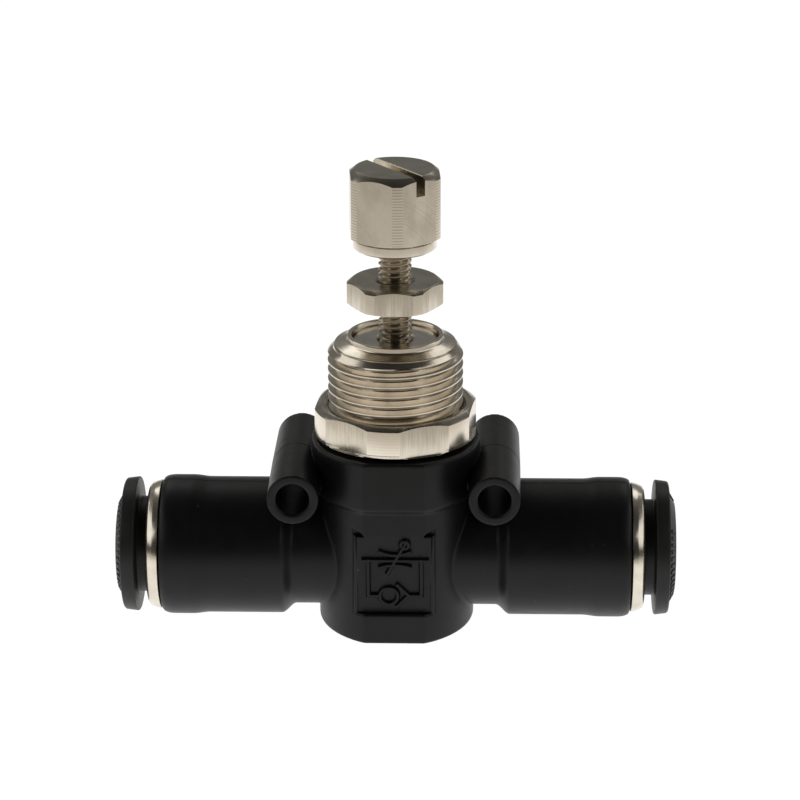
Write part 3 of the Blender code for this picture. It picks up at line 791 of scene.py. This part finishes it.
def slot_cutter(top):
    """A long bar with flared upper edges, which breaks the slot's corners."""
    half, flare, depth = SLOT_WIDTH / 2, 0.07, SLOT_DEPTH
    section = [
        (-half, top - depth), (half, top - depth), (half, top - flare),
        (half + flare + 1, top + 1), (-half - flare - 1, top + 1), (-half, top - flare),
    ]
    bm = bmesh.new()
    rows = [[bm.verts.new((x, y, z)) for y, z in section] for x in (-7, 7)]
    for j in range(len(section)):
        k = (j + 1) % len(section)
        bm.faces.new((rows[0][j], rows[0][k], rows[1][k], rows[1][j]))
    bm.faces.new(rows[0][::-1])
    bm.faces.new(rows[1])
    bmesh.ops.recalc_face_normals(bm, faces=bm.faces)
    bmesh.ops.rotate(bm, verts=bm.verts, cent=(0, 0, 0),
                     matrix=Matrix.Rotation(math.radians(SLOT_ANGLE), 3, "Z"))
    mesh = bpy.data.meshes.new("slot_bar")
    bm.to_mesh(mesh)
    bm.free()
    return mesh


def make_needle_guide(material):
    """The flat bush inside the rim that the stem screws through."""
    low, high = span("needle_guide")
    outline = [
        (STEM_HOLE + 0.2, high), (4.2, high), (4.41, high - 0.18), (4.41, low), (STEM_HOLE, low),
        (STEM_HOLE, high - 0.2),
    ]
    mesh = turned("guide", outline)
    return make_piece("needle_guide_turned", mesh, "valve_body", material,
                      ["needle_guide"])


# ---------------- push-in ports

RIB_COUNT = 17
RIB_STEP = math.radians(7.5)
RIB_HEIGHT = 0.12
RIB_MIDDLE = math.radians(-70)
RIB_FACES = ((0, 1, 3, 2), (4, 6, 7, 5), (0, 4, 5, 1), (2, 3, 7, 6), (0, 2, 6, 4), (1, 5, 7, 3))


def port_side(label):
    """1 on the right (+X) and -1 on the left."""
    return 1 if label == "right" else -1


def make_end_ring(label, material):
    """The ring that closes a housing, with its skirt inside."""
    side = port_side(label)
    outline = [
        (5.15, RING_END), (6.08, RING_END), (6.34, RING_END - 0.08), (6.5, RING_END - 0.3),
        (6.67, RING_END - 0.75), (6.8, 24.52), (6.62, 24.4), (6.13, 24.4),
        (6.13, 21.6), (5.75, 21.6), (5.75, 24.1), (5.15, 24.1),
    ]
    mesh = lay_along_x(turned(f"end_ring_{label}_skin", outline, 0.05), side)
    node = f"end_ring_{label}"
    return make_piece(f"{node}_turned", mesh, "valve_body", material, [node])


def sleeve_outline():
    """Radius and distance out of the sleeve: nose, cone, flange and the tube inside."""
    return [
        (4.15, 28.8), (4.33, 29.0), (4.7, 29.0), (5.8, 28.35), (6.75, 28.35), (6.9, 28.2),
        (FLANGE_RADIUS, FLANGE_BACK + 0.1), (FLANGE_RADIUS - 0.1, FLANGE_BACK),
        (5.15, FLANGE_BACK), (5.0, FLANGE_BACK - 0.15), (5.0, 23.95), (5.6, 23.95),
        (5.6, 23.4), (4.95, 23.4), (4.95, 21.3), (4.5, 20.9), (4.15, 20.9),
    ]


def make_release_sleeve(label, material):
    """Flanged sleeve; a ring of plain grip ribs stands on its cone."""
    side = port_side(label)
    mesh = turned(f"sleeve_{label}", sleeve_outline(), 0.05)
    bm = bmesh.new()
    bm.from_mesh(mesh)
    add_cone_ribs(bm)
    mesh = closed_mesh(f"sleeve_{label}_skin", bm)
    lay_along_x(mesh, side)
    node = f"release_sleeve_{label}"
    return make_piece(f"{node}_moulded", mesh, f"sleeve_{label}", material,
                      [node])


def add_cone_ribs(bm):
    """Two runs of short raised grip ribs on the cone between the face and the flange."""
    foot, head = Vector((5.62, 28.45)), Vector((4.92, 28.85))
    normal = Vector((0.485, 0.875))
    for run in (RIB_MIDDLE, RIB_MIDDLE + math.pi):
        for i in range(RIB_COUNT):
            middle = run + RIB_STEP * (i - (RIB_COUNT - 1) / 2)
            corners = []
            for place in (foot, head):
                for lift in (-0.1, RIB_HEIGHT):
                    r, z = place + normal * lift
                    spread = RIB_STEP * (0.34 if lift < 0 else 0.2)
                    for sign in (-1, 1):
                        angle = middle + sign * spread
                        corners.append(bm.verts.new((r * math.cos(angle), r * math.sin(angle), z)))
            for face in RIB_FACES:
                bm.faces.new([corners[k] for k in face])


def make_seal_ring(name, node, body, material, side):
    """A round-section rubber ring of the CAD ring's size. side 0 stands it about Z."""
    axis = 0 if side else 2
    low, high = span(node, axis)
    outer = span(node, 1)[1]
    section = (high - low) / 2
    middle = abs((high + low) / 2) if side else (high + low) / 2
    outline = []
    for k in range(SEAL_SECTION_STEPS):
        angle = -2 * math.pi * k / SEAL_SECTION_STEPS
        outline.append((outer - section + section * math.cos(angle),
                        middle + section * math.sin(angle)))
    columns = [(2 * math.pi * i / SEAL_STEPS, outline) for i in range(SEAL_STEPS + 1)]
    mesh = revolve(name, columns)
    if side:
        lay_along_x(mesh, side)
    return make_piece(name, mesh, body, material, [node])


# ---------------- materials

class Nodes:
    """A small helper that wires up one material's node tree."""

    def __init__(self, name):
        self.material = bpy.data.materials.new(name)
        self.material.use_nodes = True
        self.tree = self.material.node_tree
        self.tree.nodes.clear()
        self.shader = self.add("ShaderNodeBsdfPrincipled")
        output = self.add("ShaderNodeOutputMaterial")
        self.link(self.shader.outputs[0], output.inputs["Surface"])

    def add(self, kind, **inputs):
        """A node with some of its inputs set, written with _ for each space."""
        node = self.tree.nodes.new(kind)
        for key, value in inputs.items():
            node.inputs[key.replace("_", " ")].default_value = value
        return node

    def link(self, output, socket):
        self.tree.links.new(output, socket)

    def position(self, scale):
        """Place in the piece, in mm times the scale of each axis."""
        coords = self.add("ShaderNodeTexCoord")
        mapping = self.add("ShaderNodeMapping")
        mapping.inputs["Scale"].default_value = [s / MM for s in scale]
        self.link(coords.outputs["Object"], mapping.inputs["Vector"])
        return mapping.outputs[0]

    def noise(self, vector, scale=1.0, detail=3.0):
        """Fractal noise about 0.5."""
        node = self.add("ShaderNodeTexNoise", Scale=scale, Detail=detail)
        self.link(vector, node.inputs["Vector"])
        return node.outputs["Fac"]

    def ramp(self, value, stops):
        """Colour looked up from (place, colour) stops."""
        node = self.add("ShaderNodeValToRGB")
        elements = node.color_ramp.elements
        while len(elements) < len(stops):
            elements.new(0.5)
        for element, (place, colour) in zip(elements, stops):
            element.position = place
            element.color = (*colour, 1.0)
        self.link(value, node.inputs["Fac"])
        return node.outputs["Color"]

    def mix(self, a, b, factor=1.0, mode="MIX"):
        """Colour b laid over colour a."""
        node = self.add("ShaderNodeMix")
        node.data_type = "RGBA"
        node.blend_type = mode
        if isinstance(factor, float):
            node.inputs["Factor"].default_value = factor
        else:
            self.link(factor, node.inputs["Factor"])
        self.link(a, node.inputs["A"])
        self.link(b, node.inputs["B"])
        return node.outputs["Result"]

    def spread(self, value, low, high):
        """A value of 0 to 1 stretched to low to high."""
        node = self.add("ShaderNodeMapRange", To_Min=low, To_Max=high)
        self.link(value, node.inputs["Value"])
        return node.outputs["Result"]

    def math(self, operation, a, b=None):
        """One math node on sockets or plain numbers."""
        node = self.add("ShaderNodeMath")
        node.operation = operation
        for socket, value in zip(node.inputs, (a, b)):
            if isinstance(value, (int, float)):
                socket.default_value = value
            elif value is not None:
                self.link(value, socket)
        return node.outputs[0]

    def bump(self, height, strength, distance, below=None):
        """Relief from a height, distance in mm, on top of another bump."""
        node = self.add("ShaderNodeBump", Strength=strength, Distance=distance * MM)
        self.link(height, node.inputs["Height"])
        if below is not None:
            self.link(below, node.inputs["Normal"])
        return node.outputs[0]

    def arcs(self, scale):
        """Distance from a point beside the piece, for a face cutter's curved marks."""
        coords = self.add("ShaderNodeTexCoord")
        centre = self.add("ShaderNodeVectorMath")
        centre.operation = "SUBTRACT"
        centre.inputs[1].default_value = (CUTTER_ASIDE, 0.0, PORT_AXIS + CUTTER_ABOVE)
        self.link(coords.outputs["Object"], centre.inputs[0])
        length = self.add("ShaderNodeVectorMath")
        length.operation = "LENGTH"
        self.link(centre.outputs[0], length.inputs[0])
        joined = self.add("ShaderNodeCombineXYZ")
        self.link(self.math("MULTIPLY", length.outputs["Value"], scale / MM), joined.inputs[0])
        return joined.outputs[0]

    def around(self, axis, along_scale, out_scale, turn_scale):
        """(along, radius, angle) place round an axis, for marks left by turning."""
        coords = self.add("ShaderNodeTexCoord")
        split = self.add("ShaderNodeSeparateXYZ")
        self.link(coords.outputs["Object"], split.inputs[0])
        x, y, z = split.outputs
        z = self.math("SUBTRACT", z, PORT_AXIS)
        along, a, b = (x, y, z) if axis == "X" else (z, x, y)
        radius = self.math("SQRT", self.math("ADD", self.math("MULTIPLY", a, a),
                                             self.math("MULTIPLY", b, b)))
        angle = self.math("ARCTAN2", b, a)
        joined = self.add("ShaderNodeCombineXYZ")
        self.link(self.math("MULTIPLY", along, along_scale / MM), joined.inputs[0])
        self.link(self.math("MULTIPLY", radius, out_scale / MM), joined.inputs[1])
        self.link(self.math("MULTIPLY", angle, turn_scale), joined.inputs[2])
        return joined.outputs[0]

    def make_metal(self):
        """Makes the shader a bare metal."""
        self.shader.inputs["Metallic"].default_value = 1.0


def shaded(colour, share):
    """The colour with each channel times a share."""
    return tuple(share * channel for channel in colour)


def milled_nickel(name, corner, banding, marks="brushed", tint=NICKEL):
    """Milled hexagon: cutter marks on the flats, turning bands on the strips at radius corner.

    banding is the share of the tint left in the bands' dark lines. Faces that look up get painted
    shade, a tint darkened to about half, and are a little rougher.
    """
    m = Nodes(name)
    m.make_metal()
    bands_per_mm = 3.4
    strip_margin = 0.015
    split = m.add("ShaderNodeSeparateXYZ")
    m.link(m.around("Z", 1, 1, 1), split.inputs[0])
    strip = m.math("GREATER_THAN", split.outputs[1], corner - strip_margin)
    wobble = m.noise(m.around("Z", 0.8, 0, 0.3), detail=1)
    turns = m.math("ADD", m.math("MULTIPLY", split.outputs[0], bands_per_mm), wobble)
    bands = m.math("PINGPONG", turns, 0.5)
    banded = m.ramp(bands, ((0.1, shaded(tint, banding)), (0.35, tint)))
    lines = m.noise(m.position((6, 6, 0.3)) if marks == "brushed" else m.arcs(6.5), detail=6)
    stain = m.noise(m.position((0.5, 0.5, 0.35)), detail=6)
    streak = 0.8 if marks == "brushed" else 0.87
    streaks = m.ramp(lines, ((0.3, (streak, streak, streak)), (0.7, (1.0, 1.0, 1.0))))
    stained = m.ramp(stain, ((0.35, shaded(tint, 0.86)), (0.62, tint)))
    flats = m.mix(streaks, stained, mode="MULTIPLY")
    sides = m.mix(flats, banded, strip)
    # Painted shade: faces that look up get a darker copy of the tint, in place of the dim overhead
    # that they would reflect.
    painted_shade_up = m.ramp(stain, ((0.35, shaded(tint, 0.50)), (0.65, shaded(tint, 0.62))))
    facing = m.add("ShaderNodeSeparateXYZ")
    m.link(m.add("ShaderNodeNewGeometry").outputs["Normal"], facing.inputs[0])
    upward = m.math("GREATER_THAN", facing.outputs[2], 0.3)
    m.link(m.mix(sides, painted_shade_up, upward), m.shader.inputs["Base Color"])
    rough = m.math("ADD", m.spread(lines, 0.12, 0.28), m.math("MULTIPLY", upward, 0.04))
    m.link(rough, m.shader.inputs["Roughness"])
    scored = m.bump(lines, 0.28, 0.01)
    rings = m.bump(m.math("MULTIPLY", bands, strip), 0.3 * (1 - banding), 0.04, scored)
    m.link(rings, m.shader.inputs["Normal"])
    return m.material


def black_plastic(name, colour, rough, grain, shine):
    """Satin glass-filled nylon: fine texture, cloudy gloss and faint dust."""
    m = Nodes(name)
    cloud = m.noise(m.position((0.35, 0.35, 0.35)), detail=4)
    base = m.ramp(cloud, ((0.3, shaded(colour, 0.75)), (0.7, shaded(colour, 1.35))))
    specks = m.noise(m.position((1.9, 1.9, 1.9)), detail=0)
    dust = m.ramp(specks, ((0.87, (0, 0, 0)), (0.89, (0.03, 0.03, 0.028))))
    m.link(m.mix(base, dust, mode="ADD"), m.shader.inputs["Base Color"])
    m.shader.inputs["Specular IOR Level"].default_value = shine
    gloss = m.noise(m.position((0.8, 0.8, 0.8)), detail=5)
    m.link(m.spread(gloss, rough - 0.06, rough + 0.08), m.shader.inputs["Roughness"])
    fine = m.bump(m.noise(m.position((9, 9, 9)), detail=2), grain, 0.02)
    wide = m.bump(m.noise(m.position((0.5, 0.5, 0.5)), detail=1), 0.12, 0.06, fine)
    m.link(wide, m.shader.inputs["Normal"])
    return m.material


def nickel(name, marks, rough=0.2, tint=NICKEL):
    """Turned nickel plate over brass. marks is the axis that the tool marks run round."""
    m = Nodes(name)
    m.make_metal()
    lines = m.noise(m.around(marks, 9, 9, 0.6), detail=4)
    stain = m.noise(m.position((0.45, 0.45, 0.45)), detail=5)
    stained = m.ramp(stain, ((0.35, shaded(tint, 0.82)), (0.62, tint)))
    m.link(stained, m.shader.inputs["Base Color"])
    m.link(m.spread(lines, rough - 0.06, rough + 0.12), m.shader.inputs["Roughness"])
    fine = m.bump(lines, 0.25, 0.012)
    wave = m.bump(m.noise(m.position((0.6, 0.6, 0.25)), detail=2), 0.35, 0.05, fine)
    m.link(wave, m.shader.inputs["Normal"])
    return m.material


def rubber(name):
    """Dull black nitrile."""
    m = Nodes(name)
    cloud = m.noise(m.position((1, 1, 1)), detail=4)
    m.link(m.ramp(cloud, ((0.3, (0.012, 0.012, 0.012)), (0.7, (0.028, 0.027, 0.026)))),
           m.shader.inputs["Base Color"])
    m.link(m.spread(cloud, 0.6, 0.8), m.shader.inputs["Roughness"])
    m.link(m.bump(m.noise(m.position((12, 12, 12))), 0.2, 0.02), m.shader.inputs["Normal"])
    return m.material


def brass(name):
    """Bare turned brass."""
    m = Nodes(name)
    m.make_metal()
    lines = m.noise(m.around("Z", 9, 9, 0.5), detail=3)
    m.link(m.ramp(lines, ((0.3, (0.62, 0.45, 0.2)), (0.7, (0.8, 0.62, 0.32)))),
           m.shader.inputs["Base Color"])
    m.link(m.spread(lines, 0.25, 0.42), m.shader.inputs["Roughness"])
    m.link(m.bump(lines, 0.3, 0.015), m.shader.inputs["Normal"])
    return m.material


def spring_steel(name):
    """Stamped stainless strip."""
    m = Nodes(name)
    m.make_metal()
    lines = m.noise(m.around("X", 3, 10, 1.5), detail=3)
    m.link(m.ramp(lines, ((0.3, (0.5, 0.5, 0.5)), (0.7, (0.68, 0.68, 0.67)))),
           m.shader.inputs["Base Color"])
    m.link(m.spread(lines, 0.22, 0.4), m.shader.inputs["Roughness"])
    m.link(m.bump(lines, 0.25, 0.01), m.shader.inputs["Normal"])
    return m.material


def acetal(name):
    """Off-white moulded acetal."""
    m = Nodes(name)
    cloud = m.noise(m.position((0.8, 0.8, 0.8)), detail=3)
    m.link(m.ramp(cloud, ((0.3, (0.70, 0.69, 0.64)), (0.7, (0.78, 0.77, 0.73)))),
           m.shader.inputs["Base Color"])
    m.link(m.spread(cloud, 0.35, 0.5), m.shader.inputs["Roughness"])
    m.link(m.bump(m.noise(m.position((8, 8, 8))), 0.1, 0.01), m.shader.inputs["Normal"])
    return m.material


def dress_cad_node(node, material):
    """Gives a carried-over CAD node one of the materials here."""
    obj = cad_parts[node]
    obj.data.materials.clear()
    obj.data.materials.append(material)


# ---------------- stage

def make_floor():
    """A white sweep: bright where the camera sees it, greyer and warmer outside the picture."""
    mesh = bpy.data.meshes.new("floor")
    bm = bmesh.new()
    bmesh.ops.create_grid(bm, x_segments=1, y_segments=1, size=3.0)
    bm.to_mesh(mesh)
    bm.free()
    floor = bpy.data.objects.new("floor", mesh)
    bpy.context.scene.collection.objects.link(floor)
    floor.location.z = -FLOOR_SINK
    m = Nodes("floor_white")
    coords = m.add("ShaderNodeTexCoord")
    split = m.add("ShaderNodeSeparateXYZ")
    m.link(coords.outputs["Object"], split.inputs[0])
    x, y = split.outputs[0], split.outputs[1]
    front = m.math("MAXIMUM", m.math("SUBTRACT", -FLOOR_FRONT, y), 0.0)
    behind_front = m.math("ADD", y, FLOOR_FRONT)
    width = m.math("ADD", m.math("MULTIPLY", behind_front, FLOOR_WIDENING), FLOOR_HALF)
    aside = m.math("MAXIMUM", m.math("SUBTRACT", m.math("ABSOLUTE", x), width), 0.0)
    outside = m.math("ADD", front, m.math("MULTIPLY", aside, FLOOR_SIDE_SHARE))
    glow = m.ramp(m.math("DIVIDE", outside, FLOOR_FADE), (
        (0.0, (1.0, 1.0, 1.0)), (0.35, (0.62, 0.59, 0.55)), (1.0, (0.50, 0.47, 0.43)),
    ))
    m.link(glow, m.shader.inputs["Emission Color"])
    m.shader.inputs["Emission Strength"].default_value = FLOOR_GLOW
    m.shader.inputs["Base Color"].default_value = (0.12, 0.12, 0.12, 1)
    m.shader.inputs["Roughness"].default_value = 0.9
    m.shader.inputs["Specular IOR Level"].default_value = 0.0
    mesh.materials.append(m.material)


def make_world():
    """A dim studio: dark on the camera's side, grey overhead and behind."""
    world = bpy.data.worlds.new("studio")
    world.use_nodes = True
    bpy.context.scene.world = world
    tree = world.node_tree
    background = tree.nodes["Background"]
    coords = tree.nodes.new("ShaderNodeTexCoord")
    split = tree.nodes.new("ShaderNodeSeparateXYZ")
    share = tree.nodes.new("ShaderNodeMapRange")
    share.inputs["From Min"].default_value = -1.0
    ramp = tree.nodes.new("ShaderNodeValToRGB")
    front, back = ramp.color_ramp.elements
    front.position, front.color = 0.1, (0.02, 0.019, 0.018, 1)
    back.position, back.color = 0.95, (0.20, 0.20, 0.19, 1)
    middle = ramp.color_ramp.elements.new(0.5)
    middle.color = (0.05, 0.049, 0.046, 1)
    tree.links.new(coords.outputs["Generated"], split.inputs[0])
    tree.links.new(split.outputs["Y"], share.inputs["Value"])
    tree.links.new(share.outputs["Result"], ramp.inputs["Fac"])
    tree.links.new(ramp.outputs["Color"], background.inputs["Color"])


def make_light(name, direction, size, power):
    """A soft box that faces the valve from a direction."""
    middle = Vector(LIGHT_AIM)
    place = middle + Vector(direction).normalized() * LIGHT_DISTANCE
    data = bpy.data.lights.new(name, "AREA")
    data.shape = "RECTANGLE"
    data.size, data.size_y = size
    data.energy = power
    light = bpy.data.objects.new(name, data)
    light.location = place
    light.rotation_euler = (middle - place).to_track_quat("-Z", "Y").to_euler()
    bpy.context.scene.collection.objects.link(light)


def make_camera():
    """The photograph's viewpoint: a long lens, a little above and to the left of square on."""
    lift, turn, roll = (math.radians(angle) for angle in CAMERA_ANGLES)
    target = Vector((CAMERA_AIM_X, 0, PORT_AXIS + CAMERA_AIM_ABOVE_AXIS))
    ahead = Vector((math.sin(turn) * math.cos(lift), math.cos(turn) * math.cos(lift),
                    -math.sin(lift)))
    right = Vector((math.cos(turn), -math.sin(turn), 0))
    up = right.cross(ahead)
    right, up = (math.cos(roll) * right + math.sin(roll) * up,
                 math.cos(roll) * up - math.sin(roll) * right)
    data = bpy.data.cameras.new("camera")
    data.sensor_width = CAMERA_SENSOR
    data.lens = CAMERA_LENS
    data.clip_start, data.clip_end = 0.01, 20
    camera = bpy.data.objects.new("camera", data)
    turned_to = Matrix((right, up, -ahead)).transposed().to_4x4()
    camera.matrix_world = Matrix.Translation(target - CAMERA_DISTANCE * ahead) @ turned_to
    bpy.context.scene.collection.objects.link(camera)
    bpy.context.scene.camera = camera


def main():
    threaded = nickel("nickel_thread_painted_shade", "Z", 0.16, NICKEL_THREAD_PAINTED_SHADE)
    stem = nickel("nickel_stem_painted_shade", "Z", 0.16, NICKEL_STEM_PAINTED_SHADE)
    turned_x = nickel("nickel_port_ring", "X", 0.17)
    seal = rubber("nitrile_rubber")
    plastic = black_plastic("black_nylon", (0.004, 0.004, 0.004), 0.4, 0.25, 0.27)
    sleeve = black_plastic("black_acetal", (0.013, 0.013, 0.0125), 0.43, 0.5, 0.3)
    make_body(plastic)
    make_bonnet(threaded)
    make_needle_guide(nickel("nickel_guide_painted_shade", "Z", 0.2, NICKEL_GUIDE_PAINTED_SHADE))
    make_needle_stem(stem)
    make_knob(milled_nickel("nickel_knob", KNOB_HEX[1], 0.74, "scored", NICKEL_KNOB))
    make_lock_nut(milled_nickel("nickel_lock_nut", LOCK_HEX[1], 0.95))
    make_panel_nut(milled_nickel("nickel_panel_nut", PANEL_HEX[1], 0.95,
                                 tint=NICKEL_PANEL_NUT))
    for label in ("left", "right"):
        make_end_ring(label, turned_x)
        make_release_sleeve(label, sleeve)
        make_seal_ring(f"tube_seal_{label}_ring", f"tube_seal_{label}", "valve_body", seal,
                       port_side(label))
        dress_cad_node(f"grip_ring_{label}", spring_steel(f"claw_steel_{label}"))
        dress_cad_node(f"grip_backup_ring_{label}", acetal(f"backup_acetal_{label}"))
    make_seal_ring("bonnet_seal", "bonnet_o_ring", "valve_body", seal, 0)
    make_seal_ring("stem_seal", "stem_o_ring", "stem_lift", seal, 0)
    dress_cad_node("valve_seat_sleeve", brass("seat_brass"))
    dress_cad_node("check_lip_seal", rubber("lip_rubber"))
    make_floor()
    make_world()
    for light in LIGHTS:
        make_light(*light)
    make_camera()
    bpy.context.scene.view_settings.view_transform = "Standard"


main()
